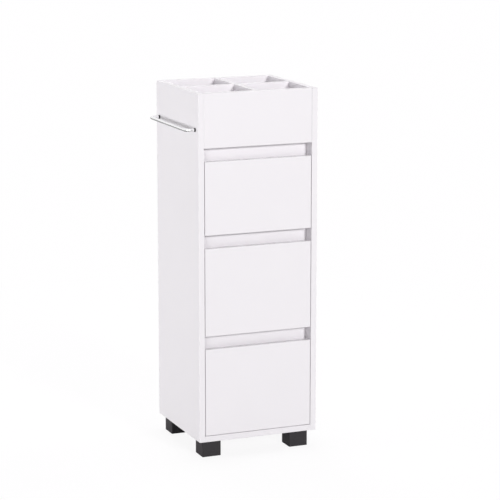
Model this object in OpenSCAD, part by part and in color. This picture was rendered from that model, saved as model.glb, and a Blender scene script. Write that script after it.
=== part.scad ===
// Bathroom storage tower: a narrow carcass of white coated board on four black feet, with three
// drawers on roller runners, a finger recess above each drawer, an open divided tray on top and
// a chrome towel rail on the left side.
// Millimetres. +X is right, -Y is the front, +Z is up, and the feet stand on z = 0. The origin is
// under the middle of the whole outline, which takes in the towel rail.

/* [Carcass] */
// Width over the two side panels
body_w = 320; // [260:1:400]
// Depth from the front edges to the rear edges of the side panels
body_d = 300; // [240:1:380]
// Thickness of the coated boards
board_t = 15; // [12:0.5:19]
// Rounding of the banded board edges
edge_r = 0.6; // [0.3:0.1:1.2]
// Thickness of the hardboard sheets
sheet_t = 3; // [2:0.5:4]
// Depth of the grooves that hold the hardboard sheets
groove_depth = 5; // [3:0.5:6]
// From the back panel to the rear edges of the side panels
back_inset = 9; // [6:0.5:11]

/* [Fronts] */
// Height of the lower drawer front
lower_front_h = 224; // [160:1:300]
// Height of the middle drawer front
middle_front_h = 224; // [160:1:300]
// Height of the upper drawer front
upper_front_h = 185; // [150:1:300]
// Height of the fixed front of the tray
tray_front_h = 137; // [100:1:200]
// Height of the open recess above each drawer front
recess_h = 33.5; // [26:0.5:45]
// From the face of the drawer fronts back to the face of the recess
recess_depth = 32; // [25:0.5:40]
// Air beside and under the drawer fronts
front_gap = 1.5; // [1:0.1:3]
// How far the cross rails reach down behind the drawer front below them
rail_drop = 12; // [8:0.5:16]
// How far the cross rails reach up behind the drawer front above them
rail_rise = 10; // [6:0.5:14]

/* [Tray] */
// Thickness of the tray dividers
divider_t = 12; // [9:0.5:15]
// From the front face to the middle of the divider that runs across
cross_divider_y = 152; // [120:1:180]

/* [Drawers] */
// Thickness of the sides and the back of a drawer box
drawer_side_t = 12; // [10:0.5:15]
// Air between a drawer box and the cross rail above it
box_top_gap = 4; // [2:0.5:10]
// From the lower edges of a drawer box up to its bottom sheet
bottom_lift = 8; // [7:0.5:12]

/* [Runners] */
// Step in which runners are sold; the longest that fits the depth is used
runner_step = 50; // [25:25:50]
// Air on each side of a drawer box that one runner fills
runner_space = 12.5; // [12:0.1:15]
// Thickness of the pressed steel
steel_t = 1.2; // [1:0.1:1.5]
// Diameter of the rollers
roller_d = 17; // [14:0.1:21]
// Width of the rollers
roller_w = 6; // [5:0.1:7.2]
// Diameter of the riveted axles
axle_d = 4; // [3:0.1:5]
// From the front end of a cabinet runner to the rim of its roller
front_roller_inset = 19.5; // [12:0.5:32]
// From the rear end of a drawer runner to the rim of its roller
rear_roller_inset = 0.5; // [0.5:0.5:4]
// From the lower side of a cabinet runner up to the drawer box
box_lift = 6; // [5:0.5:8]
// Height and half length of the pressed stop that ends the drawer's way out
stop_h = 3; // [2:0.5:4]
// Width of the screw holes and slots that stay empty
spare_hole_w = 4.5; // [3:0.5:6]
// Length of the slots that stay empty
spare_slot_l = 12; // [8:1:16]

/* [Towel rail] */
// Diameter of the bar
rail_d = 8; // [6:0.5:12]
// From the side panel to the middle of the bar
rail_standoff = 25; // [20:1:60]
// Bend of the bar at its two ends, on its middle line
rail_bend_r = 10; // [8:0.5:16]
// From the front and rear edges of the side panel to the legs of the rail
rail_inset = 22; // [21:1:60]
// From the top of the side panel down to the rail
rail_from_top = 92; // [60:1:100]
// Wall of the rubber collars round the bar
collar_wall = 0.8; // [0.6:0.1:3]
// Height of the collars at the panel
collar_h = 3.5; // [2:0.5:6]

/* [Feet] */
// Width and depth of a foot
foot_w = 50; // [40:1:65]
// Height of a foot
foot_h = 45; // [35:1:80]
// Wall of the moulded foot
foot_wall = 2.5; // [2:0.1:4]
// From the outer face of a side panel to the foot
foot_side_inset = 15; // [10:1:25]
// From the front edge of the bottom panel to the front feet
foot_front_inset = 20; // [10:1:40]
// From the rear edge of the bottom panel to the rear feet
foot_back_inset = 5; // [5:1:40]

/* [Fittings] */
// Diameter of the cam locks in the carcass boards
cam_d = 15; // [12:0.5:18]
// From a joint to the middle of its cam lock
cam_inset = 24; // [20:1:34]
// Diameter of the cam locks in the drawer boards
drawer_cam_d = 12; // [10:0.5:14]
// Diameter of the wooden dowels
dowel_d = 6; // [5:0.5:8]
// Length of the wooden dowels
dowel_l = 30; // [24:1:36]
// Diameter of the chipboard screws
screw_d = 4; // [3:0.5:5]

/* [Hidden] */
$fn = 48;

LEVELS = ["lower", "middle", "upper"];

white_board = [0.95, 0.95, 0.96];
hardboard = [0.86, 0.86, 0.87];
black_plastic = [0.13, 0.13, 0.14];
chrome = [0.78, 0.79, 0.81];
grey_rubber = [0.25, 0.25, 0.26];
white_steel = [0.90, 0.90, 0.90];
roller_plastic = [0.82, 0.82, 0.80];
zinc = [0.66, 0.67, 0.69];
beech = [0.80, 0.66, 0.48];

// Air round a pin, dowel, bolt or screw in its bore
fit = 0.05;
// Air between a roller and the tracks above and below it
run_gap = 0.3;
// Empty depth past the end of a dowel, bolt or screw in its bore
end_room = 0.5;
// A little more, so that a cut passes through a face
over = 1;

// The carcass
inner_w = body_w - 2 * board_t;
front_h = [lower_front_h, middle_front_h, upper_front_h];
// Lower edge of drawer front i; one past the last is the lower edge of the tray
function front_z(i) = i == 0 ? foot_h + board_t + front_gap : front_z(i - 1) + front_h[i - 1] + recess_h;
function front_top(i) = front_z(i) + front_h[i];
tray_z = front_z(len(LEVELS));
top_z = tray_z + tray_front_h;
tray_floor_top = tray_z + board_t;
tray_back_y = body_d - board_t;
function cross_rail_z(i) = front_top(i) - rail_drop;
function cross_rail_top(i) = i == len(LEVELS) - 1 ? tray_z : front_z(i + 1) + rail_rise;

// The runners. Positions s run from a side panel's inner face towards the middle.
runner_front_gap = 2;
runner_y = board_t + runner_front_gap;
runner_len = runner_step * floor((body_d - back_inset - sheet_t - runner_y) / runner_step);
drawer_end_y = board_t + runner_len;
rail_to_runner = 1;
top_play = 1.2;
flange_gap = 1.5;
shoulder_l = 1.4;
shoulder_d = 7;
axle_head_l = 0.8;
axle_play = 0.1;
channel_h = 3 * steel_t + roller_d + 2 * run_gap + top_play;
channel_flange = runner_space - steel_t - flange_gap;
channel_end = drawer_end_y + run_gap + steel_t;
roller_lift = steel_t + run_gap + roller_d / 2;
track_lift = roller_lift + roller_d / 2 + run_gap;
function channel_z(i) = front_z(i) + rail_rise + rail_to_runner;
front_roller_y = runner_y + front_roller_inset + roller_d / 2;
rear_roller_y = drawer_end_y - rear_roller_inset - roller_d / 2;
front_roller_s = steel_t + shoulder_l + axle_play;
rear_roller_s = runner_space - steel_t - shoulder_l - axle_play - roller_w;
// The stop stands just behind the front roller, and the rear roller comes up to it
stop_gap = 1.7;
stop_y = front_roller_y + roller_d / 2 + stop_gap + stop_h;
top_flange_cut = stop_y + stop_h - runner_y;
// The bends are a little sharper inside than the softened board edge that sits in one
bend_inner_r = edge_r - 2 * fit;
bend_mid_r = bend_inner_r + steel_t / 2;
under_side_gap = 1;
corner_cut = 4;

// The drawers
box_w = inner_w - 2 * runner_space;
box_inner_w = box_w - 2 * drawer_side_t;
drawer_back_y = drawer_end_y - drawer_side_t;
function box_z(i) = channel_z(i) + box_lift;
function box_top(i) = cross_rail_z(i) - box_top_gap;

// The fittings. Each joint is [place, turn]: the place is where the bolt or dowel crosses the
// joint, and the turn points its +X at the board that it is screwed or pushed into, and its -Z
// at the face that the cam lock is let into.
cam_floor = 3;
edge_bore_d = 8;
bolt_thread_d = 6;
bolt_thread_l = 10;
drawer_thread_l = 8;
cam_to_edge = 50;
cam_to_dowel = 32;
dowel_in_face = 10;
dowel_spread = 32;
divider_dowel_spread = 70;
function turn_down(side) = [0, 0, side > 0 ? 0 : 180];
function turn_rear(side) = [side * 90, 0, side > 0 ? 0 : 180];
function turn_out(side) = [side * 90, 0, -90];
turn_front = [0, 0, -90];
turn_back = [0, 0, 90];

function rail_mid_z(i) = (cross_rail_z(i) + cross_rail_top(i)) / 2;
rail_mid_y = recess_depth + board_t / 2;
rail_fitting_spread = 11;

bottom_cam_joints = [
  for (side = [-1, 1], y = [cam_to_edge, body_d - cam_to_edge])
    [[side * inner_w / 2, y, foot_h + board_t / 2], turn_down(side)],
];
floor_cam_joints = [
  for (side = [-1, 1], y = [board_t + cam_to_edge, tray_back_y - cam_to_edge])
    [[side * inner_w / 2, y, tray_z + board_t / 2], turn_down(side)],
  for (side = [-1, 1]) [[side * inner_w / 4, board_t, tray_z + board_t / 2], turn_front],
];
function rail_cam_joints(i) = [
  for (side = [-1, 1])
    [[side * inner_w / 2, rail_mid_y, rail_mid_z(i) + rail_fitting_spread], turn_rear(side)],
];
cam_joints = concat(bottom_cam_joints, floor_cam_joints,
  [for (i = [0 : len(LEVELS) - 1]) each rail_cam_joints(i)]);

bottom_dowels = [
  for (side = [-1, 1], y = [cam_to_edge + cam_to_dowel, body_d - cam_to_edge - cam_to_dowel])
    [[side * inner_w / 2, y, foot_h + board_t / 2], turn_down(side)],
];
floor_dowels = [
  for (side = [-1, 1], y = [1, -1])
    [[side * inner_w / 2, body_d / 2 + y * dowel_spread, tray_z + board_t / 2], turn_down(side)],
];
function rail_dowels(i) = [
  for (side = [-1, 1])
    [[side * inner_w / 2, rail_mid_y, rail_mid_z(i) - rail_fitting_spread], turn_down(side)],
];
function tray_dowels(y) = [
  for (side = [-1, 1], z = [dowel_spread, tray_front_h - dowel_spread])
    [[side * inner_w / 2, y, tray_z + z], turn_down(side)],
];
front_panel_dowels = tray_dowels(board_t / 2);
back_panel_dowels = tray_dowels(body_d - board_t / 2);
divider_dowel_z = [for (k = [-1, 1]) (tray_floor_top + top_z + k * divider_dowel_spread) / 2];
long_divider_dowels = [
  for (z = divider_dowel_z) each [[[0, board_t, z], turn_front], [[0, tray_back_y, z], turn_back]],
];
cross_divider_dowels = [
  for (side = [-1, 1], z = divider_dowel_z) [[side * inner_w / 2, cross_divider_y, z], turn_down(side)],
];
dowel_joints = concat(bottom_dowels, floor_dowels, front_panel_dowels, back_panel_dowels,
  long_divider_dowels, cross_divider_dowels, [for (i = [0 : len(LEVELS) - 1]) each rail_dowels(i)]);

drawer_cam_margin = 30;
function drawer_cam_z(i) = [box_z(i) + drawer_cam_margin, box_top(i) - drawer_cam_margin];
drawer_side_mid = (box_w - drawer_side_t) / 2;
function drawer_front_joints(i) = [
  for (side = [-1, 1], z = drawer_cam_z(i)) [[side * drawer_side_mid, board_t, z], turn_out(side)],
];
function drawer_back_joints(i) = [
  for (side = [-1, 1], z = drawer_cam_z(i))
    [[side * box_inner_w / 2, drawer_end_y - drawer_side_t / 2, z], turn_rear(side)],
];
function on_side(joints, side) = [for (joint = joints) if (joint[0][0] * side > 0) joint];

runner_screw_l = 13;
drawer_screw_l = 10;
foot_screw_l = 16;
screw_head_d = 7;
screw_head_l = 2;
screw_tip_l = 3;
screw_tip_r = 0.4;
runner_screw_front = 64;
runner_screw_rear = 26;
function along_runner(share) =
  runner_y + runner_screw_front + share * (runner_len - runner_screw_front - runner_screw_rear);
cabinet_screw_y = [for (share = [0, 0.5, 1]) along_runner(share)];
cabinet_slot_y = [for (share = [0.25, 0.75]) along_runner(share)];
drawer_screw_front = 30;
drawer_screw_rear = 60;
drawer_screw_y = [runner_y + drawer_screw_front, drawer_end_y - drawer_screw_rear];
function between_drawer_screws(share) = drawer_screw_y[0] + share * (drawer_screw_y[1] - drawer_screw_y[0]);
drawer_slot_y = [for (share = [0.25, 0.75]) between_drawer_screws(share)];
drawer_hole_y = between_drawer_screws(0.5);
drawer_screw_lift = 4.5;

// The towel rail
rail_z = top_z - rail_from_top;
rail_y = [rail_inset, body_d - rail_inset];
rail_screw_in_leg = 10;
rail_screw_head_d = 8;
rail_screw_head_l = 2.2;

// The feet
foot_r = 2;
foot_inner_r = 1;
foot_sole = 3;
foot_rib = 1.8;
foot_rib_drop = 2;
boss_d = 13;
boss_web = 5;
boss_spread = 12;
screw_well_d = 9.5;
foot_x = body_w / 2 - foot_side_inset - foot_w / 2;
foot_front_y = foot_front_inset + foot_w / 2;
foot_back_y = body_d - foot_back_inset - foot_w / 2;
foot_places = [for (y = [foot_front_y, foot_back_y], side = [-1, 1]) [side * foot_x, y, 0]];

// Puts what is drawn in the carcass' own places, with x from its middle and y from its front,
// where the finished model has them
module placed()
  translate([(rail_standoff + rail_d / 2) / 2, -body_d / 2, 0]) children();

module left_and_right() {
  children();
  mirror([1, 0, 0]) children();
}

module at_joints(joints)
  for (joint = joints) translate(joint[0]) rotate(joint[1]) children();

// A rectangle from the origin with round corners
module round_rect(w, h, r) {
  translate([r, 0]) square([w - 2 * r, h]);
  translate([0, r]) square([w, h - 2 * r]);
  for (x = [r, w - r], y = [r, h - r]) translate([x, y]) circle(r);
}

// A board with softened edges all round
module board(w, d, h, r = edge_r)
  intersection() {
    linear_extrude(h) round_rect(w, d, r);
    translate([0, d, 0]) rotate([90, 0, 0]) linear_extrude(d) round_rect(w, h, r);
    translate([w, 0, 0]) rotate([0, -90, 0]) linear_extrude(w) round_rect(h, d, r);
  }

// A board between the side panels, from y and z
module cross_board(w, y, z, d, h)
  translate([-w / 2, y, z]) board(w, d, h);

// A bar along X from the origin, turned from the outline [radius, place along X]
module turned(outline)
  rotate([0, 90, 0]) rotate_extrude() polygon(outline);

// Cam lock, bolt and the room that both need. The middle of the bolt's head is the middle of the lock.
head_half_l = 1.5;
head_room = cam_inset + head_half_l + end_room;
module cam(t, d) {
  socket_l = 8;
  socket_w = 1.6;
  socket_depth = 3;
  difference() {
    translate([-cam_inset, 0, -t / 2]) cylinder(d = d, h = t - cam_floor);
    turned([[0, -head_room], [edge_bore_d / 2, -head_room], [edge_bore_d / 2, 0], [0, 0]]);
    translate([-cam_inset, 0, -t / 2]) for (turn = [0, 90]) rotate(turn)
      translate([-socket_l / 2, -socket_w / 2, -over]) cube([socket_l, socket_w, socket_depth + over]);
  }
}
module cam_bolt(thread_l) {
  thread_r = bolt_thread_d / 2;
  collar_r = edge_bore_d / 2 - 0.2;
  neck_r = 2.4;
  head_r = 3.4;
  head_end = -cam_inset - head_half_l;
  head_x = -cam_inset + head_half_l;
  chamfer = 1;
  turned([[0, head_end], [head_r - chamfer, head_end], [head_r, head_end + chamfer],
    [head_r, head_x], [neck_r, head_x + chamfer], [neck_r, -chamfer], [collar_r, -chamfer], [collar_r, 0],
    [thread_r, 0], [thread_r, thread_l - chamfer], [thread_r - chamfer, thread_l], [0, thread_l]]);
}
module cam_joint_bores(t, d, thread_l) {
  thread_r = bolt_thread_d / 2 + fit;
  translate([-cam_inset, 0, -t / 2 - over]) cylinder(d = d + 2 * fit, h = t - cam_floor + over);
  turned([[0, -head_room], [edge_bore_d / 2, -head_room], [edge_bore_d / 2, 0], [thread_r, 0],
    [thread_r, thread_l + end_room], [0, thread_l + end_room]]);
}
module carcass_cam_bores(joints)
  at_joints(joints) cam_joint_bores(board_t, cam_d, bolt_thread_l);
module drawer_cam_bores(joints)
  at_joints(joints) cam_joint_bores(drawer_side_t, drawer_cam_d, drawer_thread_l);

module dowel(extra_r = 0, extra_l = 0) {
  r = dowel_d / 2 + extra_r;
  chamfer = 1;
  low = dowel_in_face - dowel_l - extra_l;
  high = dowel_in_face + extra_l;
  turned([[0, low], [r - chamfer, low], [r, low + chamfer],
    [r, high - chamfer], [r - chamfer, high], [0, high]]);
}
module dowel_bores(joints)
  at_joints(joints) dowel(fit, end_room);

// A countersunk screw along X, with its head's face at the origin
module countersunk(length, d, head_d, head_l, extra = 0)
  turned([[0, -extra], [head_d / 2 + extra, -extra], [head_d / 2 + extra, 0], [d / 2 + extra, head_l],
    [d / 2 + extra, length - screw_tip_l], [screw_tip_r + extra, length + extra], [0, length + extra]]);

// The screws that hold the cabinet runners of level i, and their holes
module cabinet_screws(i, extra = 0)
  left_and_right()
    for (y = cabinet_screw_y)
      translate([-inner_w / 2 + steel_t, y, channel_z(i) + roller_lift]) mirror([1, 0, 0])
        countersunk(runner_screw_l, screw_d, screw_head_d, screw_head_l, extra);
// The screws that hold the drawer runners of level i, and their holes
module drawer_runner_screws(i, extra = 0)
  left_and_right()
    for (y = drawer_screw_y)
      translate([-box_w / 2 - steel_t, y, box_z(i) + drawer_screw_lift])
        countersunk(drawer_screw_l, screw_d, screw_head_d, screw_head_l, extra);

// The hardboard sheets. The same shapes, cut out of the boards round them, are their grooves.
module back_sheet()
  translate([-inner_w / 2 - groove_depth, body_d - back_inset - sheet_t, foot_h + board_t - groove_depth])
    cube([inner_w + 2 * groove_depth, sheet_t, tray_z - foot_h - board_t + 2 * groove_depth]);
module drawer_sheet(i)
  translate([-box_inner_w / 2 - groove_depth, board_t - groove_depth, box_z(i) + bottom_lift])
    cube([box_inner_w + 2 * groove_depth, drawer_back_y - board_t + 2 * groove_depth, sheet_t]);

// ---- Carcass boards

module side_panel(side)
  color(white_board) placed() difference() {
    translate([side > 0 ? inner_w / 2 : -body_w / 2, 0, foot_h]) board(board_t, body_d, top_z - foot_h);
    back_sheet();
    carcass_cam_bores(on_side(cam_joints, side));
    dowel_bores(on_side(dowel_joints, side));
    for (i = [0 : len(LEVELS) - 1]) cabinet_screws(i, fit);
    if (side < 0) rail_screw_set(fit);
  }

module bottom_panel()
  color(white_board) placed() difference() {
    cross_board(inner_w, 0, foot_h, body_d, board_t);
    back_sheet();
    carcass_cam_bores(bottom_cam_joints);
    dowel_bores(bottom_dowels);
    foot_screw_set(fit);
  }

module back_panel()
  color(hardboard) placed() back_sheet();

module tray_floor()
  color(white_board) placed() difference() {
    cross_board(inner_w, board_t, tray_z, tray_back_y - board_t, board_t);
    carcass_cam_bores(floor_cam_joints);
    dowel_bores(floor_dowels);
  }

module tray_front_panel()
  color(white_board) placed() difference() {
    cross_board(inner_w, 0, tray_z, board_t, tray_front_h);
    carcass_cam_bores(floor_cam_joints);
    dowel_bores(concat(front_panel_dowels, long_divider_dowels));
  }

module tray_back_panel()
  color(white_board) placed() difference() {
    cross_board(inner_w, tray_back_y, tray_z, board_t, tray_front_h);
    back_sheet();
    dowel_bores(concat(back_panel_dowels, long_divider_dowels));
  }

// The room that one divider takes out of the other where they cross, from the half height
module divider_slot(z)
  translate([-divider_t / 2, cross_divider_y - divider_t / 2, z])
    cube([divider_t, divider_t, (top_z - tray_floor_top) / 2]);

module tray_divider_long()
  color(white_board) placed() difference() {
    cross_board(divider_t, board_t, tray_floor_top, tray_back_y - board_t, top_z - tray_floor_top);
    divider_slot((top_z + tray_floor_top) / 2);
    dowel_bores(long_divider_dowels);
  }

module tray_divider_cross()
  color(white_board) placed() difference() {
    cross_board(inner_w, cross_divider_y - divider_t / 2, tray_floor_top,
      divider_t, top_z - tray_floor_top);
    divider_slot(tray_floor_top);
    dowel_bores(cross_divider_dowels);
  }

module cross_rail(i)
  color(white_board) placed() difference() {
    cross_board(inner_w, recess_depth, cross_rail_z(i), board_t, cross_rail_top(i) - cross_rail_z(i));
    carcass_cam_bores(rail_cam_joints(i));
    dowel_bores(rail_dowels(i));
  }

// ---- Fittings of the carcass

module carcass_cams()
  color(zinc) placed() at_joints(cam_joints) cam(board_t, cam_d);

module carcass_cam_bolts()
  color(zinc) placed() at_joints(cam_joints) cam_bolt(bolt_thread_l);

module carcass_dowels()
  color(beech) placed() at_joints(dowel_joints) dowel();

module cabinet_runner_screws()
  color(zinc) placed() for (i = [0 : len(LEVELS) - 1]) cabinet_screws(i);

// ---- Feet: open-topped mouldings with a cross rib and two wells for the screws

module boss_places()
  for (k = [-1, 1]) translate([k * boss_spread, k * boss_spread, 0]) children();

module foot_at(place)
  color(black_plastic) placed() translate(place) difference() {
    translate([-foot_w / 2, -foot_w / 2, 0]) linear_extrude(foot_h) round_rect(foot_w, foot_w, foot_r);
    difference() {
      inside = foot_w - 2 * foot_wall;
      translate([-inside / 2, -inside / 2, foot_sole]) linear_extrude(foot_h)
        round_rect(inside, inside, foot_inner_r);
      boss_places() cylinder(d = boss_d, h = foot_h);
      for (turn = [0, 90]) rotate(turn)
        translate([-foot_w / 2, -foot_rib / 2, 0]) cube([foot_w, foot_rib, foot_h - foot_rib_drop]);
    }
    boss_places() {
      translate([0, 0, -over]) cylinder(d = screw_well_d, h = foot_h - boss_web + over);
      cylinder(d = screw_d + 2 * fit, h = foot_h + over);
    }
  }

module foot_screw_set(extra = 0) {
  head_l = 2.4;
  for (place = foot_places) translate(place) boss_places()
    translate([0, 0, foot_h - boss_web]) rotate([0, -90, 0])
      turned([[0, -head_l], [screw_head_d / 2, -head_l], [screw_head_d / 2, 0], [screw_d / 2 + extra, 0],
        [screw_d / 2 + extra, foot_screw_l - screw_tip_l], [screw_tip_r, foot_screw_l + extra],
        [0, foot_screw_l + extra]]);
}

module foot_screws()
  color(zinc) placed() foot_screw_set();

// ---- Towel rail: one bar bent twice, screwed on from inside the tray

module towel_rail()
  color(chrome) placed() translate([-body_w / 2, 0, rail_z]) difference() {
    union() {
      translate([-rail_standoff, rail_y[0] + rail_bend_r, 0]) rotate([-90, 0, 0])
        cylinder(d = rail_d, h = rail_y[1] - rail_y[0] - 2 * rail_bend_r);
      for (end = [0, 1]) translate([0, rail_y[end], 0]) mirror([0, end, 0]) {
        rotate([0, -90, 0]) cylinder(d = rail_d, h = rail_standoff - rail_bend_r);
        translate([rail_bend_r - rail_standoff, rail_bend_r, 0]) rotate(180)
          rotate_extrude(angle = 90) translate([rail_bend_r, 0]) circle(d = rail_d);
      }
    }
    for (y = rail_y) translate([over, y, 0]) rotate([0, -90, 0])
      cylinder(d = screw_d + 2 * fit, h = rail_screw_in_leg + over + end_room);
  }

module rail_collars() {
  inner_r = rail_d / 2 + fit;
  outer_r = rail_d / 2 + collar_wall;
  chamfer = collar_wall / 2;
  color(grey_rubber) placed() for (y = rail_y)
    translate([-body_w / 2, y, rail_z]) mirror([1, 0, 0])
      turned([[inner_r, 0], [outer_r, 0], [outer_r, collar_h - chamfer], [outer_r - chamfer, collar_h],
        [inner_r, collar_h]]);
}

module rail_screw_set(extra = 0)
  for (y = rail_y) translate([-inner_w / 2, y, rail_z]) mirror([1, 0, 0])
    countersunk(board_t + rail_screw_in_leg, screw_d, rail_screw_head_d, rail_screw_head_l, extra);

module rail_screws()
  color(zinc) placed() rail_screw_set();

// ---- Runners: strips bent from sheet steel, with a riveted axle for one roller each

// The outline of a strip bent square along the points of its middle line
module bent_strip(points) {
  last = len(points) - 1;
  for (k = [0 : last - 1]) {
    way = (points[k + 1] - points[k]) / norm(points[k + 1] - points[k]);
    start = points[k] + way * (k > 0 ? bend_mid_r : 0);
    end = points[k + 1] - way * (k < last - 1 ? bend_mid_r : 0);
    translate(start) rotate(atan2(way[1], way[0]))
      translate([0, -steel_t / 2]) square([norm(end - start), steel_t]);
  }
  for (k = [1 : last - 1]) {
    before = (points[k - 1] - points[k]) / norm(points[k - 1] - points[k]);
    after = (points[k + 1] - points[k]) / norm(points[k + 1] - points[k]);
    inwards = before + after;
    translate(points[k] + inwards * bend_mid_r) bend(inwards);
  }
}

// A quarter ring from its middle, on the side away from inwards
module bend(inwards) {
  quarter = bend_mid_r + steel_t;
  intersection() {
    difference() {
      circle(bend_mid_r + steel_t / 2);
      circle(bend_mid_r - steel_t / 2);
    }
    translate([inwards[0] > 0 ? -quarter : 0, inwards[1] > 0 ? -quarter : 0]) square(quarter);
  }
}

// A strip of that outline from y0 to y1
module strip_along(points, y0, y1)
  translate([0, y1, 0]) rotate([90, 0, 0]) linear_extrude(y1 - y0) bent_strip(points);

// The room of an empty hole or slot, cut along X through a strip whose near face is at the origin
module spare_hole()
  translate([-over, 0, 0]) rotate([0, 90, 0]) cylinder(d = spare_hole_w, h = steel_t + 2 * over);
module spare_slot() {
  spread = (spare_slot_l - spare_hole_w) / 2;
  for (y = [-spread, spread]) translate([0, y, 0]) spare_hole();
  translate([-over, -spread, -spare_hole_w / 2]) cube([steel_t + 2 * over, 2 * spread, spare_hole_w]);
}

// The room that is cut off a flange's corner, where its free edge s meets its end y. The flange
// lies on the given sides of both, and its lower face is at the origin.
module corner_room(s, y, s_side, y_side)
  translate([s, y, -over]) mirror([s_side < 0 ? 1 : 0, 0, 0]) mirror([0, y_side < 0 ? 1 : 0, 0])
    linear_extrude(steel_t + 2 * over) polygon([[-over, -over], [corner_cut, -over], [-over, corner_cut]]);

// An axle from the origin along X, riveted into a sheet of steel_t
module axle() {
  shank_end = steel_t + shoulder_l + roller_w + 2 * axle_play;
  head_r = axle_d / 2 + 1.2;
  chamfer = 0.4;
  turned([[0, 0], [shoulder_d / 2, 0], [shoulder_d / 2, steel_t + shoulder_l],
    [axle_d / 2, steel_t + shoulder_l], [axle_d / 2, shank_end], [head_r, shank_end],
    [head_r, shank_end + axle_head_l - chamfer], [head_r - chamfer, shank_end + axle_head_l],
    [0, shank_end + axle_head_l]]);
}

// A half-round stop pressed up out of the lower flange, and the dent that it leaves underneath
module stop_bar(r, x0, x1)
  translate([x0, stop_y, steel_t]) rotate([0, 90, 0]) cylinder(r = r, h = x1 - x0);

module cabinet_runners(i) {
  mid = steel_t / 2;
  track = [[channel_flange, mid], [mid, mid], [mid, channel_h - mid], [channel_flange, channel_h - mid]];
  stop_inset = 1;
  stop_from = steel_t + bend_inner_r;
  stop_to = channel_flange - stop_inset;
  color(white_steel) placed() difference() {
    left_and_right() translate([-inner_w / 2, 0, channel_z(i)]) {
      difference() {
        union() {
          strip_along(track, runner_y, channel_end);
          intersection() {
            stop_bar(stop_h, stop_from, stop_to);
            translate([0, stop_y - stop_h, 0]) cube([channel_flange, 2 * stop_h, channel_h]);
          }
        }
        stop_bar(stop_h - steel_t, stop_from + steel_t, stop_to - steel_t);
        translate([steel_t, runner_y - over, channel_h - steel_t - over])
          cube([channel_flange, top_flange_cut + over, steel_t + 2 * over]);
        corner_room(channel_flange, runner_y, -1, 1);
        translate([0, 0, channel_h - steel_t])
          corner_room(channel_flange, runner_y + top_flange_cut, -1, 1);
        for (y = cabinet_slot_y) translate([0, y, roller_lift]) spare_slot();
      }
      translate([0, channel_end - steel_t, 0]) cube([channel_flange, steel_t, channel_h]);
      translate([0, front_roller_y, roller_lift]) axle();
    }
    cabinet_screws(i, fit);
  }
}

module drawer_runners(i) {
  mid = steel_t / 2;
  web = runner_space - mid;
  low = box_lift - mid;
  high = track_lift + mid;
  flange_end = runner_space + drawer_side_t - under_side_gap;
  track_end = 2 * steel_t;
  strip = [[flange_end, low], [web, low], [web, high], [track_end, high]];
  color(white_steel) placed() difference() {
    left_and_right() translate([-inner_w / 2, 0, channel_z(i)]) {
      difference() {
        strip_along(strip, runner_y, drawer_end_y);
        translate([0, 0, box_lift - steel_t]) {
          corner_room(flange_end, runner_y, -1, 1);
          corner_room(flange_end, drawer_end_y, -1, -1);
        }
        translate([0, 0, track_lift]) corner_room(track_end, drawer_end_y, 1, -1);
        translate([runner_space - steel_t, 0, box_lift + drawer_screw_lift]) {
          for (y = drawer_slot_y) translate([0, y, 0]) spare_slot();
          translate([0, drawer_hole_y, 0]) spare_hole();
        }
      }
      translate([runner_space, rear_roller_y, roller_lift]) mirror([1, 0, 0]) axle();
    }
    drawer_runner_screws(i, fit);
  }
}

// A grooved plastic roller along X from the origin
module roller() {
  r = roller_d / 2;
  chamfer = 0.6;
  groove = 1.4;
  hub_r = axle_d / 2 + 1.6;
  rim_r = r - 1.8;
  bore_r = axle_d / 2 + fit;
  turned([[bore_r, 0], [hub_r, 0], [hub_r, groove], [rim_r, groove], [rim_r, 0], [r - chamfer, 0],
    [r, chamfer], [r, roller_w - chamfer], [r - chamfer, roller_w], [rim_r, roller_w],
    [rim_r, roller_w - groove], [hub_r, roller_w - groove], [hub_r, roller_w], [bore_r, roller_w]]);
}

module rollers(s, y, z)
  color(roller_plastic) placed() left_and_right() translate([-inner_w / 2 + s, y, z]) roller();

// ---- Drawers: a board front, a box of thinner board and a hardboard bottom in grooves

module drawer_front(i)
  color(white_board) placed() difference() {
    cross_board(inner_w - 2 * front_gap, 0, front_z(i), board_t, front_h[i]);
    drawer_sheet(i);
    drawer_cam_bores(drawer_front_joints(i));
  }

module drawer_side(i, side)
  color(white_board) placed() difference() {
    translate([side * drawer_side_mid - drawer_side_t / 2, board_t, box_z(i)])
      board(drawer_side_t, runner_len, box_top(i) - box_z(i));
    drawer_sheet(i);
    drawer_cam_bores(on_side(concat(drawer_front_joints(i), drawer_back_joints(i)), side));
    drawer_runner_screws(i, fit);
  }

module drawer_back(i)
  color(white_board) placed() difference() {
    cross_board(box_inner_w, drawer_back_y, box_z(i), drawer_side_t, box_top(i) - box_z(i));
    drawer_sheet(i);
    drawer_cam_bores(drawer_back_joints(i));
  }

module drawer_bottom(i)
  color(hardboard) placed() drawer_sheet(i);

module drawer_cams(i)
  color(zinc) placed() at_joints(concat(drawer_front_joints(i), drawer_back_joints(i)))
    cam(drawer_side_t, drawer_cam_d);

module drawer_cam_bolts(i)
  color(zinc) placed() at_joints(concat(drawer_front_joints(i), drawer_back_joints(i)))
    cam_bolt(drawer_thread_l);

module drawer_screws(i)
  color(zinc) placed() drawer_runner_screws(i);

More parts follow.
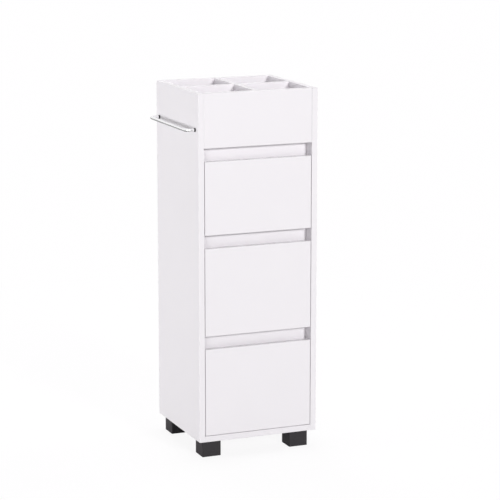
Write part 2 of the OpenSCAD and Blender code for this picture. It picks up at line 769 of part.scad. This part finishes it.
side_panel(-1);  // side_panel_left
side_panel(1);  // side_panel_right
bottom_panel();
back_panel();
tray_floor();
tray_front_panel();
tray_back_panel();
tray_divider_long();
tray_divider_cross();
towel_rail();
rail_collars();
rail_screws();
foot_at(foot_places[0]);  // foot_front_left
foot_at(foot_places[1]);  // foot_front_right
foot_at(foot_places[2]);  // foot_back_left
foot_at(foot_places[3]);  // foot_back_right
foot_screws();
carcass_cams();
carcass_cam_bolts();
carcass_dowels();
cabinet_runner_screws();
for (i = [0 : len(LEVELS) - 1]) {
  cross_rail(i);
  cabinet_runners(i);
  rollers(front_roller_s, front_roller_y, channel_z(i) + roller_lift);
  drawer_front(i);
  drawer_side(i, -1);
  drawer_side(i, 1);
  drawer_back(i);
  drawer_bottom(i);
  drawer_runners(i);
  rollers(rear_roller_s, rear_roller_y, channel_z(i) + roller_lift);
  drawer_cams(i);
  drawer_cam_bolts(i);
  drawer_screws(i);
}
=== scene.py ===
import math

import bmesh
import bpy
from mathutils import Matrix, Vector


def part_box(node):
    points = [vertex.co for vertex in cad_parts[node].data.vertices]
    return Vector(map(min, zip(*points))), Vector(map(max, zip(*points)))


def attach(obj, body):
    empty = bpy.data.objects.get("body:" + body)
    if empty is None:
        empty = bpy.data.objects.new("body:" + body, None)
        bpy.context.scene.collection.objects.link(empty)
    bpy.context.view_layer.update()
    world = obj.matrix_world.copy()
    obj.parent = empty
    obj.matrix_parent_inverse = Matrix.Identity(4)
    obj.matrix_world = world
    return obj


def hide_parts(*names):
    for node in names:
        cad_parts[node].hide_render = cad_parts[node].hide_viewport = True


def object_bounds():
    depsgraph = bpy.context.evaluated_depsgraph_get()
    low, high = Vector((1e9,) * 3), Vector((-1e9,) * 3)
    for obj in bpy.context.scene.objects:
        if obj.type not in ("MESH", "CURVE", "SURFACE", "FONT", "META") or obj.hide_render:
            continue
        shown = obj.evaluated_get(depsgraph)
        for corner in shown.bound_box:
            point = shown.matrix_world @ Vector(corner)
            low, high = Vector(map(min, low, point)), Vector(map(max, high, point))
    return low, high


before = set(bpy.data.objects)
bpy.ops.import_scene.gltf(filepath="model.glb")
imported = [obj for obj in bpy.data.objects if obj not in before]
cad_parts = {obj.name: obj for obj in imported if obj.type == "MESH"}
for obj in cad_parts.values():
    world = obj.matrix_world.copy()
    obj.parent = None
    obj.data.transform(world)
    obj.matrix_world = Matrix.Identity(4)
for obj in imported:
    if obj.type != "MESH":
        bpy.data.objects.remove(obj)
cad_low, cad_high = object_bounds()

# ---------------------------------------------------------------------------------------------
# Camera. The tower is seen from its left and a little above, from five metres off through a
# long lens, so that its upright edges stay nearly parallel.
# ---------------------------------------------------------------------------------------------
camera_place = (-1.9488, -4.8744, 1.5718)
camera_yaw = math.radians(22.327)
camera_pitch = math.radians(11.505)

camera_data = bpy.data.cameras.new("camera")
camera_data.sensor_width = 36.0
camera_data.lens = 149.85
camera_data.clip_end = 60.0
camera = bpy.data.objects.new("camera", camera_data)
camera.location = camera_place
camera.rotation_euler = (math.radians(90) - camera_pitch, 0.0, -camera_yaw)
bpy.context.scene.collection.objects.link(camera)
bpy.context.scene.camera = camera


# ---------------------------------------------------------------------------------------------
# Side panels. Chipboard with a white melamine skin, cut to size, drilled, and banded with a thin
# white plastic strip on its edges. The skin has a fine pearl grain, and a hairline of glue shows
# where a band meets the face.
# ---------------------------------------------------------------------------------------------
melamine_white = (0.865, 0.838, 0.868)
melamine_roughness = (0.36, 0.46)
cloud_scale, cloud_spread = 9.0, 0.008
swell_scale, swell_height = 26.0, 0.0006
pearl_scale, pearl_height = 1100.0, 0.00003
band_thickness = 0.0008
matt_band = 0.4
glue_line_width = 0.00022
glue_line_shade = 0.80

# Each edge of a board is the axis that it lies across, and 0 for the low end or 1 for the high.
FRONT, REAR = ("Y", 0), ("Y", 1)
BOTTOM, TOP = ("Z", 0), ("Z", 1)
LEFT, RIGHT = ("X", 0), ("X", 1)


class Wiring:
    """A node tree, with one call that adds a node, sets it up and joins others to it."""

    def __init__(self, tree):
        self.tree = tree

    def add(self, kind, sockets=None, **settings):
        node = self.tree.nodes.new(kind)
        for name, value in settings.items():
            setattr(node, name, value)
        for name, value in (sockets or {}).items():
            self.feed(node.inputs[name], value)
        return node

    def feed(self, socket, value):
        """Gives a socket another node's output, several outputs, or a plain value."""
        if isinstance(value, bpy.types.NodeSocket):
            self.tree.links.new(value, socket)
        elif isinstance(value, list):
            for output in value:
                self.tree.links.new(output, socket)
        else:
            socket.default_value = value

    def math(self, operation, first, second=0.0):
        return self.add("ShaderNodeMath", {0: first, 1: second}, operation=operation).outputs[0]


class Finish(Wiring):
    """A new material on Object coordinates, with short calls for what its surface needs."""

    def __init__(self, name):
        self.material = bpy.data.materials.new(name)
        self.material.use_nodes = True
        super().__init__(self.material.node_tree)
        self.surface = self.tree.nodes["Principled BSDF"]
        self.place = self.add("ShaderNodeTexCoord").outputs["Object"]

    def set(self, name, value):
        self.feed(self.surface.inputs[name], value)

    def noise(self, scale, detail=2.0, roughness=0.5, stretch=(1.0, 1.0, 1.0)):
        mapping = self.add("ShaderNodeMapping", {"Vector": self.place, "Scale": stretch})
        sockets = {"Vector": mapping.outputs[0], "Scale": scale}
        sockets.update({"Detail": detail, "Roughness": roughness})
        return self.add("ShaderNodeTexNoise", sockets).outputs["Fac"]

    def between(self, share, low, high):
        """A value that goes from low to high as the share goes from 0 to 1."""
        sockets = {"Value": share, "To Min": low, "To Max": high}
        return self.add("ShaderNodeMapRange", sockets).outputs["Result"]

    def blend(self, share, first, second):
        """A colour that goes from first to second, where each is a colour or a node's output."""
        ends = [(*end, 1.0) if isinstance(end, tuple) else end for end in (first, second)]
        sockets = {0: share, 6: ends[0], 7: ends[1]}
        return self.add("ShaderNodeMix", sockets, data_type="RGBA").outputs[2]

    def bump(self, *layers):
        """Layers of (height, depth in metres, strength), one over the other."""
        sockets = {}
        for height, depth, strength in layers:
            sockets.update({"Height": height, "Distance": depth, "Strength": strength})
            sockets["Normal"] = self.add("ShaderNodeBump", sockets).outputs["Normal"]
        self.set("Normal", sockets["Normal"])


def shade(colour, factor):
    return tuple(channel * factor for channel in colour)


def dress(node, finish):
    """Gives a CAD node that finish. Nothing else of the node changes."""
    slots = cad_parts[node].data.materials
    slots.clear()
    slots.append(finish.material)


def melamine(node, bands, band_roughness=matt_band):
    """Melamine board for a CAD node, with a glue line along each of its banded edges."""
    board = Finish("melamine_" + node)
    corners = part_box(node)
    pearl = board.noise(pearl_scale, roughness=0.6)
    roughness = board.between(pearl, *melamine_roughness)
    dimmer = shade(melamine_white, 1 - cloud_spread)
    brighter = shade(melamine_white, 1 + cloud_spread)
    skin = board.blend(board.noise(cloud_scale, detail=1.0), dimmer, brighter)
    axes = board.add("ShaderNodeSeparateXYZ", {0: board.place}).outputs
    for axis, end in bands:
        line = corners[end]["XYZ".index(axis)] + (-band_thickness if end else band_thickness)
        distance = board.math("ABSOLUTE", board.math("SUBTRACT", axes[axis], line))
        on_line = board.math("LESS_THAN", distance, glue_line_width / 2)
        skin = board.blend(on_line, skin, shade(melamine_white, glue_line_shade))
        on_band = board.math("GREATER_THAN" if end else "LESS_THAN", axes[axis], line)
        roughness = board.between(on_band, roughness, band_roughness)
    board.set("Base Color", skin)
    board.set("Roughness", roughness)
    swell = board.noise(swell_scale, detail=1.0)
    board.bump((swell, swell_height, 0.25), (pearl, pearl_height, 0.35))
    return board


for side in ("left", "right"):
    dress(f"side_panel_{side}", melamine(f"side_panel_{side}", (FRONT, REAR, BOTTOM, TOP)))

# ---------------------------------------------------------------------------------------------
# Bottom panel and cross rails. Boards of the same kind between the side panels. A rail is the
# set-back face of the finger recess, and its upper and lower edges are banded.
# ---------------------------------------------------------------------------------------------
LEVELS = ("lower", "middle", "upper")

dress("bottom_panel", melamine("bottom_panel", (FRONT, REAR)))
for level in LEVELS:
    dress(f"cross_rail_{level}", melamine(f"cross_rail_{level}", (BOTTOM, TOP)))

# ---------------------------------------------------------------------------------------------
# Tray. A fixed front and back, a floor, and two dividers that are slotted into each other and
# make four open compartments. The edges that a hand meets are banded. The front's right-hand end
# carries a painted shadow: a dark line over its softened edge, where the joint with the side panel
# would fall in shade.
# ---------------------------------------------------------------------------------------------
# Painted shade: the last strip of the fixed front's right-hand end is darkened to stand for the
# shadow in its joint with the side panel.
joint_shadow_width = 0.0006
joint_shadow_darkness = 0.40

fixed_front = melamine("tray_front_panel", (BOTTOM, TOP))
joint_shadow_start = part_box("tray_front_panel")[1][0] - joint_shadow_width
across = fixed_front.add("ShaderNodeSeparateXYZ", {0: fixed_front.place}).outputs["X"]
in_joint_shadow = fixed_front.math("GREATER_THAN", across, joint_shadow_start)
skin = fixed_front.surface.inputs["Base Color"].links[0].from_socket
skin = fixed_front.blend(in_joint_shadow, skin, shade(melamine_white, joint_shadow_darkness))
fixed_front.set("Base Color", skin)
dress("tray_front_panel", fixed_front)
dress("tray_floor", melamine("tray_floor", ()))
dress("tray_back_panel", melamine("tray_back_panel", (BOTTOM, TOP)))
dress("tray_divider_long", melamine("tray_divider_long", (TOP,)))
dress("tray_divider_cross", melamine("tray_divider_cross", (TOP,)))

# ---------------------------------------------------------------------------------------------
# Back panel and drawer bottoms. Thin hardboard in grooves, lacquered white, with the faint weave
# that the press screen leaves under the lacquer.
# ---------------------------------------------------------------------------------------------
hardboard_white = (0.82, 0.80, 0.82)
hardboard_roughness = (0.44, 0.56)
mottle_scale, mottle_height = 60.0, 0.0002
screen_pitch, screen_height = 0.0011, 0.00008
screen_unevenness = 0.15

hardboard = Finish("lacquered_hardboard")
mottle = hardboard.noise(mottle_scale, detail=4.0, roughness=0.6)
screen = {"Vector": hardboard.place, "Scale": 1 / screen_pitch, "Randomness": screen_unevenness}
weave = hardboard.add("ShaderNodeTexVoronoi", screen).outputs["Distance"]
hardboard.set("Base Color", hardboard.blend(mottle, shade(hardboard_white, 0.97), hardboard_white))
hardboard.set("Roughness", hardboard.between(mottle, *hardboard_roughness))
hardboard.bump((mottle, mottle_height, 0.2), (weave, screen_height, 0.3))
for sheet in ("back_panel", *(f"drawer_bottom_{level}" for level in LEVELS)):
    dress(sheet, hardboard)

# ---------------------------------------------------------------------------------------------
# Feet. Hollow black mouldings, screwed up into the bottom panel, with the fine spark-eroded
# grain of the mould on every face. Seen at a glancing angle, the grain looks paler.
# ---------------------------------------------------------------------------------------------
plastic_dark = (0.0125, 0.0095, 0.0125)
plastic_pale = (0.0185, 0.0155, 0.0185)
plastic_roughness = (0.46, 0.58)
glancing_tint = (1.0, 0.93, 1.0, 1.0)
glancing_weight = 0.15
haze_scale = 45.0
grain_scale, grain_height = 1500.0, 0.00005

black_plastic = Finish("black_plastic")
grain = black_plastic.noise(grain_scale, detail=3.0, roughness=0.65)
haze = black_plastic.noise(haze_scale, detail=3.0)
black_plastic.set("Base Color", black_plastic.blend(haze, plastic_dark, plastic_pale))
black_plastic.set("Roughness", black_plastic.between(haze, *plastic_roughness))
black_plastic.set("Sheen Weight", glancing_weight)
black_plastic.set("Sheen Roughness", 0.5)
black_plastic.set("Sheen Tint", glancing_tint)
black_plastic.bump((grain, grain_height, 0.5))
for corner in ("front_left", "front_right", "back_left", "back_right"):
    dress(f"foot_{corner}", black_plastic)

# ---------------------------------------------------------------------------------------------
# Towel rail. One steel bar, bent at both ends, chromed, and screwed on from inside the tray. The
# marks of its polishing run along the bar.
# ---------------------------------------------------------------------------------------------
chromium = (0.90, 0.905, 0.912)
chrome_roughness = (0.05, 0.12)
smear_scale = 40.0
polish_scale, polish_height = 700.0, 0.00002
polish_stretch = (1.0, 0.06, 1.0)

chrome = Finish("chrome")
smear = chrome.noise(smear_scale, detail=4.0)
polish = chrome.noise(polish_scale, detail=3.0, stretch=polish_stretch)
chrome.set("Metallic", 1.0)
chrome.set("Base Color", chrome.blend(smear, shade(chromium, 0.97), chromium))
chrome.set("Roughness", chrome.between(smear, *chrome_roughness))
chrome.bump((polish, polish_height, 0.15))
dress("towel_rail", chrome)

# ---------------------------------------------------------------------------------------------
# Rail collars. A short ring of dark grey rubber between each leg of the rail and the panel. A
# dull bloom lies on the rubber.
# ---------------------------------------------------------------------------------------------
rubber_dark = (0.045, 0.045, 0.047)
rubber_pale = (0.060, 0.060, 0.062)
rubber_roughness = (0.6, 0.75)
bloom_scale, bloom_height = 260.0, 0.00006

rubber = Finish("grey_rubber")
bloom = rubber.noise(bloom_scale, detail=4.0)
rubber.set("Base Color", rubber.blend(bloom, rubber_dark, rubber_pale))
rubber.set("Roughness", rubber.between(bloom, *rubber_roughness))
rubber.bump((bloom, bloom_height, 0.4))
dress("rail_collars", rubber)

# ---------------------------------------------------------------------------------------------
# Runners. Strips of pressed sheet steel in white powder coat, whose slight orange peel shows in
# a raking light. One pair is screwed to the side panels, one to each drawer.
# ---------------------------------------------------------------------------------------------
coat_white = (0.80, 0.80, 0.795)
coat_roughness = (0.32, 0.42)
peel_scale, peel_height = 650.0, 0.00008

powder_coat = Finish("powder_coat")
peel = powder_coat.noise(peel_scale)
powder_coat.set("Base Color", powder_coat.blend(peel, shade(coat_white, 0.97), coat_white))
powder_coat.set("Roughness", powder_coat.between(peel, *coat_roughness))
powder_coat.bump((peel, peel_height, 0.35))
for level in LEVELS:
    dress(f"cabinet_runners_{level}", powder_coat)
    dress(f"drawer_runners_{level}", powder_coat)

# ---------------------------------------------------------------------------------------------
# Rollers. Turned rings of hard white plastic on the riveted axles, a little duller where they
# have run on the steel.
# ---------------------------------------------------------------------------------------------
roller_white = (0.72, 0.72, 0.70)
roller_worn = shade(roller_white, 0.93)
roller_roughness = (0.3, 0.45)
wear_scale, wear_height = 300.0, 0.00003

roller_plastic = Finish("roller_plastic")
wear = roller_plastic.noise(wear_scale, detail=4.0)
roller_plastic.set("Base Color", roller_plastic.blend(wear, roller_worn, roller_white))
roller_plastic.set("Roughness", roller_plastic.between(wear, *roller_roughness))
roller_plastic.bump((wear, wear_height, 0.3))
for level in LEVELS:
    dress(f"front_rollers_{level}", roller_plastic)
    dress(f"rear_rollers_{level}", roller_plastic)

# ---------------------------------------------------------------------------------------------
# Drawers. Each front is a board banded on all four edges, with a glossy band that hands can wipe
# clean. The box behind it is of thinner board, banded along its upper edges.
# ---------------------------------------------------------------------------------------------
glossy_band = 0.14

for level in LEVELS:
    front = f"drawer_front_{level}"
    dress(front, melamine(front, (LEFT, RIGHT, BOTTOM, TOP), band_roughness=glossy_band))
    for wall in ("side_left", "side_right", "back"):
        board = f"drawer_{wall}_{level}"
        dress(board, melamine(board, (TOP,)))

# ---------------------------------------------------------------------------------------------
# Cam locks and cam bolts. Zinc die castings and zinc-plated steel, let into the boards where the
# finished tower hides them.
# ---------------------------------------------------------------------------------------------
zinc_bright = (0.66, 0.67, 0.69)
zinc_dull = shade(zinc_bright, 0.78)
zinc_roughness = (0.28, 0.48)
spangle_scale, spangle_height = 220.0, 0.00005

zinc = Finish("zinc")
spangle = zinc.noise(spangle_scale, detail=5.0, roughness=0.7)
zinc.set("Metallic", 1.0)
zinc.set("Base Color", zinc.blend(spangle, zinc_dull, zinc_bright))
zinc.set("Roughness", zinc.between(spangle, *zinc_roughness))
zinc.bump((spangle, spangle_height, 0.25))
for fitting in ("cams", "cam_bolts"):
    dress(f"carcass_{fitting}", zinc)
    for level in LEVELS:
        dress(f"drawer_{fitting}_{level}", zinc)

# ---------------------------------------------------------------------------------------------
# Dowels. Plain beech pins pressed half into each of two boards. Their grain runs across the
# tower, as they lie.
# ---------------------------------------------------------------------------------------------
beech_dark = (0.52, 0.36, 0.21)
beech_pale = (0.66, 0.49, 0.31)
beech_roughness = (0.55, 0.68)
fleck_scale, fleck_height = 500.0, 0.0001
fleck_stretch = (0.12, 1.0, 1.0)

beech = Finish("beech")
fleck = beech.noise(fleck_scale, detail=3.0, stretch=fleck_stretch)
beech.set("Base Color", beech.blend(fleck, beech_dark, beech_pale))
beech.set("Roughness", beech.between(fleck, *beech_roughness))
beech.bump((fleck, fleck_height, 0.3))
dress("carcass_dowels", beech)


# ---------------------------------------------------------------------------------------------
# Screws. Zinc-plated chipboard screws with a cross recess and a coarse thread. They hold the
# runners, the feet and the rail, and each lies exactly where its CAD screw does.
# ---------------------------------------------------------------------------------------------
screw_core = 0.00148
screw_tip = 0.003
tip_bluntness = 0.15
thread_pitch = 0.0018
thread_height = 0.0005
thread_steps = 14
recess_share = 0.52
recess_slimness = 0.26
recess_taper = 0.6
recess_depth = 0.0014
head_sides, core_sides = 32, 16
twist_seed = 11
weld_distance = 1e-6
sharp_angle = math.radians(35)
middle_x = sum(corner[0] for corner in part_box("bottom_panel")) / 2


def solids_of(node):
    """The lowest and highest corner of each separate solid in a CAD node, in a fixed order."""
    merged = bmesh.new()
    merged.from_mesh(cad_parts[node].data)
    bmesh.ops.remove_doubles(merged, verts=merged.verts, dist=weld_distance)
    waiting = set(merged.verts)
    boxes = []
    while waiting:
        reached = [waiting.pop()]
        for vertex in reached:
            for edge in vertex.link_edges:
                other = edge.other_vert(vertex)
                if other in waiting:
                    waiting.remove(other)
                    reached.append(other)
        low = Vector([min(vertex.co[k] for vertex in reached) for k in range(3)])
        high = Vector([max(vertex.co[k] for vertex in reached) for k in range(3)])
        boxes.append((low, high))
    merged.free()
    return sorted(boxes, key=lambda box: [round(value, 5) for value in box[0]])


def screw_tree():
    """Geometry Nodes that put a screw at each point, turned along the attribute "facing".

    The middle of the head's face lies on the point, and the shank runs back from it.
    """
    tree = bpy.data.node_groups.new("cross_recess_screws", "GeometryNodeTree")
    tree.interface.new_socket("Geometry", in_out="INPUT", socket_type="NodeSocketGeometry")
    for size in ("Head radius", "Head height", "Neck radius", "Core radius", "Length"):
        tree.interface.new_socket(size, in_out="INPUT", socket_type="NodeSocketFloat")
    tree.interface.new_socket("Material", in_out="INPUT", socket_type="NodeSocketMaterial")
    tree.interface.new_socket("Geometry", in_out="OUTPUT", socket_type="NodeSocketGeometry")
    nodes = Wiring(tree)
    given = nodes.add("NodeGroupInput").outputs
    head_radius, head_height = given["Head radius"], given["Head height"]
    core_radius, length = given["Core radius"], given["Length"]

    def moved(shape, up=0.0, turn=0.0, scale=(1.0, 1.0, 1.0)):
        offset = nodes.add("ShaderNodeCombineXYZ", {"Z": up}).outputs[0]
        sockets = {"Geometry": shape, "Translation": offset}
        sockets.update({"Rotation": (0.0, 0.0, turn), "Scale": scale})
        return nodes.add("GeometryNodeTransform", sockets).outputs[0]

    def cone(sides, top, bottom, height):
        sockets = {"Vertices": sides, "Radius Top": top, "Radius Bottom": bottom, "Depth": height}
        return nodes.add("GeometryNodeMeshCone", sockets).outputs["Mesh"]

    head = cone(head_sides, head_radius, given["Neck radius"], head_height)
    head = moved(head, up=nodes.math("MULTIPLY", head_height, -1.0))

    wing = nodes.math("MULTIPLY", head_radius, recess_share * math.sqrt(2))
    blade = cone(4, wing, nodes.math("MULTIPLY", wing, recess_taper), recess_depth)
    blade = moved(blade, turn=math.radians(45))
    blade = moved(blade, up=-recess_depth, scale=(1.0, recess_slimness, 1.0))
    solids = {"Mesh 1": head, "Mesh 2": [blade, moved(blade, turn=math.radians(90))]}
    head = nodes.add("GeometryNodeMeshBoolean", solids, operation="DIFFERENCE").outputs[0]

    shank_length = nodes.math("SUBTRACT", length, head_height)
    core_length = nodes.math("SUBTRACT", shank_length, screw_tip)
    end = nodes.math("MULTIPLY", length, -1.0)
    core_end = nodes.math("ADD", end, screw_tip)
    core = moved(cone(core_sides, core_radius, core_radius, core_length), up=core_end)
    tip_radius = nodes.math("MULTIPLY", core_radius, tip_bluntness)
    tip = moved(cone(core_sides, core_radius, tip_radius, screw_tip), up=end)

    turns = {
        "Resolution": thread_steps,
        "Rotations": nodes.math("DIVIDE", core_length, thread_pitch),
        "Start Radius": core_radius,
        "End Radius": core_radius,
        "Height": core_length,
    }
    spiral = nodes.add("GeometryNodeCurveSpiral", turns).outputs[0]
    triangle = {"Resolution": 3, "Radius": thread_height}
    ridge = nodes.add("GeometryNodeCurvePrimitiveCircle", triangle, mode="RADIUS").outputs[0]
    sweep = {"Curve": spiral, "Profile Curve": ridge, "Fill Caps": True}
    thread = moved(nodes.add("GeometryNodeCurveToMesh", sweep).outputs[0], up=core_end)
    screw = nodes.add("GeometryNodeJoinGeometry", {0: [head, core, tip, thread]}).outputs[0]

    attribute = {"Name": "facing"}
    facing = nodes.add("GeometryNodeInputNamedAttribute", attribute, data_type="FLOAT_VECTOR")
    aim = nodes.add("FunctionNodeAlignRotationToVector", {"Vector": facing.outputs[0]}, axis="Z")
    chance = nodes.add("FunctionNodeRandomValue", {"Seed": twist_seed}, data_type="FLOAT")
    angle = nodes.math("MULTIPLY", chance.outputs[1], math.pi)
    twist = nodes.add("FunctionNodeAxisAngleToRotation", {"Axis": (0.0, 0.0, 1.0), "Angle": angle})
    rotations = {0: aim.outputs[0], 1: twist.outputs[0]}
    turn = nodes.add("FunctionNodeRotateRotation", rotations, rotation_space="LOCAL").outputs[0]
    points = {"Points": given["Geometry"], "Instance": screw, "Rotation": turn}
    placed = nodes.add("GeometryNodeInstanceOnPoints", points).outputs[0]
    real = nodes.add("GeometryNodeRealizeInstances", {0: placed}).outputs[0]
    done = nodes.add("GeometryNodeSetMaterial", {"Geometry": real, "Material": given["Material"]})
    nodes.add("NodeGroupOutput", {0: done.outputs[0]})
    return tree


cross_recess_screws = screw_tree()


def screw_set(node, body, facing, head_height, neck_share):
    """Screws for the solids of a CAD node.

    facing turns the middle of a solid into the way that its head looks.
    """
    boxes = solids_of(node)
    ways = [Vector(facing((low + high) / 2)) for low, high in boxes]
    spans = [high - low for low, high in boxes]
    length = abs(spans[0].dot(ways[0]))
    head_radius = max(span for span, way in zip(spans[0], ways[0]) if not way) / 2
    faces = [(low + high) / 2 + way * length / 2 for (low, high), way in zip(boxes, ways)]

    mesh = bpy.data.meshes.new(node + "_points")
    mesh.from_pydata(faces, [], [])
    mesh.attributes.new("facing", "FLOAT_VECTOR", "POINT").data.foreach_set(
        "vector", [value for way in ways for value in way]
    )
    screws = bpy.data.objects.new(node + "_cross_recess", mesh)
    bpy.context.scene.collection.objects.link(screws)
    modifier = screws.modifiers.new("screws", "NODES")
    modifier.node_group = cross_recess_screws
    values = {
        "Head radius": head_radius,
        "Head height": head_height,
        "Neck radius": head_radius * neck_share,
        "Core radius": screw_core,
        "Length": length,
        "Material": zinc.material,
    }
    for socket in cross_recess_screws.interface.items_tree:
        if socket.name in values:
            modifier[socket.identifier] = values[socket.name]
    seen = screws.evaluated_get(bpy.context.evaluated_depsgraph_get())
    screws.data = bpy.data.meshes.new_from_object(seen)
    screws.modifiers.clear()
    screws.data.polygons.foreach_set("use_smooth", [True] * len(screws.data.polygons))
    screws.data.set_sharp_from_angle(angle=sharp_angle)
    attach(screws, body)
    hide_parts(node)


def to_middle(place):
    return (1.0 if place.x < middle_x else -1.0, 0.0, 0.0)


def to_side(place):
    return (-1.0 if place.x < middle_x else 1.0, 0.0, 0.0)


def downwards(place):
    return (0.0, 0.0, -1.0)


pan_head = {"head_height": 0.0020, "neck_share": 0.57}
rail_head = {"head_height": 0.0022, "neck_share": 0.50}
foot_head = {"head_height": 0.0024, "neck_share": 0.98}

screw_set("cabinet_runner_screws", "carcass", to_middle, **pan_head)
screw_set("rail_screws", "carcass", to_middle, **rail_head)
screw_set("foot_screws", "carcass", downwards, **foot_head)
for level in LEVELS:
    screw_set(f"drawer_screws_{level}", f"drawer_{level}", to_side, **pan_head)

# ---------------------------------------------------------------------------------------------
# Studio. A pale floor in a white surround, and soft lamps round the tower. The main lamp stands
# in front and low enough to light the finger recesses as well as the fronts. Polished metal
# mirrors the white surround above a dark floor, and not the lamps at the sides and the back.
# ---------------------------------------------------------------------------------------------
floor_size = 24.0
floor_white = (0.95, 0.945, 0.95)
floor_grey = (0.45, 0.45, 0.45)
floor_mirrored = (0.30, 0.30, 0.30)
floor_roughness = 0.9
shadow_share = 0.10
shadow_reach = (0.4, 2.0)
white = (1.0, 0.995, 1.0, 1.0)
surround = 0.155

half = floor_size / 2
floor_corners = [(-half, -half, 0), (half, -half, 0), (half, half, 0), (-half, half, 0)]
floor_mesh = bpy.data.meshes.new("floor")
floor_mesh.from_pydata(floor_corners, [], [(0, 1, 2, 3)])
floor = bpy.data.objects.new("floor", floor_mesh)
bpy.context.scene.collection.objects.link(floor)

# The camera sees the floor as glowing white. Near the tower a tenth of that is plain lit floor,
# which keeps the shadow, and it fades out with the distance. Other rays meet a grey floor.
pale = Finish("pale_floor")
rays = pale.add("ShaderNodeLightPath").outputs
camera_ray = rays["Is Camera Ray"]
unseen = pale.blend(rays["Is Glossy Ray"], floor_grey, floor_mirrored)
pale.set("Base Color", pale.blend(camera_ray, unseen, floor_white))
pale.set("Roughness", floor_roughness)
glow = pale.add("ShaderNodeEmission", {"Color": white}).outputs[0]
distance = pale.add("ShaderNodeVectorMath", {0: pale.place}, operation="LENGTH").outputs["Value"]
fade = {"Value": distance, "From Min": shadow_reach[0], "From Max": shadow_reach[1]}
fade["To Min"] = 1 - shadow_share
glow_share = pale.add("ShaderNodeMapRange", fade).outputs["Result"]
seen_share = pale.math("MULTIPLY", camera_ray, glow_share)
mixed = pale.add("ShaderNodeMixShader", {0: seen_share, 1: pale.surface.outputs[0], 2: glow})
pale.feed(pale.tree.nodes["Material Output"].inputs["Surface"], mixed.outputs[0])
floor_mesh.materials.append(pale.material)

world = bpy.data.worlds.new("surround")
world.use_nodes = True
bpy.context.scene.world = world
air = Wiring(world.node_tree)
path = air.add("ShaderNodeLightPath").outputs
seen_plainly = air.math("MAXIMUM", path["Is Camera Ray"], path["Is Glossy Ray"])
seen_plainly = air.math("MAXIMUM", seen_plainly, path["Is Transmission Ray"])
brightness = {"Value": seen_plainly, "To Min": surround, "To Max": 1.0}
strength = air.add("ShaderNodeMapRange", brightness).outputs[0]
air.feed(world.node_tree.nodes["Background"].inputs["Color"], white)
air.feed(world.node_tree.nodes["Background"].inputs["Strength"], strength)

tower_middle = (cad_low + cad_high) / 2


def soft_lamp(name, place, size, share, mirrored=False):
    """A square lamp that faces the tower.

    The share is how bright, against white, a white card there is under this lamp alone.
    """
    way = tower_middle - Vector(place)
    data = bpy.data.lights.new(name, "AREA")
    data.shape = "SQUARE"
    data.size = size
    data.energy = share * (math.pi * way.length) ** 2
    lamp = bpy.data.objects.new(name, data)
    lamp.location = place
    lamp.rotation_euler = way.to_track_quat("-Z", "Y").to_euler()
    lamp.visible_camera = False
    lamp.visible_glossy = mirrored
    bpy.context.scene.collection.objects.link(lamp)


soft_lamp("front_lamp", (1.5, -9.0, 3.2), 1.2, 0.56, mirrored=True)
soft_lamp("fill_lamp", (-5.1, -7.2, 2.3), 2.7, 0.20, mirrored=True)
soft_lamp("left_lamp", (-4.6, 0.7, 0.6), 2.0, 0.71)
soft_lamp("right_lamp", (4.6, 0.7, 1.4), 2.0, 0.52)
soft_lamp("rear_lamp", (0.3, 4.8, 1.8), 2.0, 0.55)
soft_lamp("top_lamp", (0.0, 0.3, 4.6), 1.6, 0.37)
bpy.context.scene.view_settings.view_transform = "Standard"
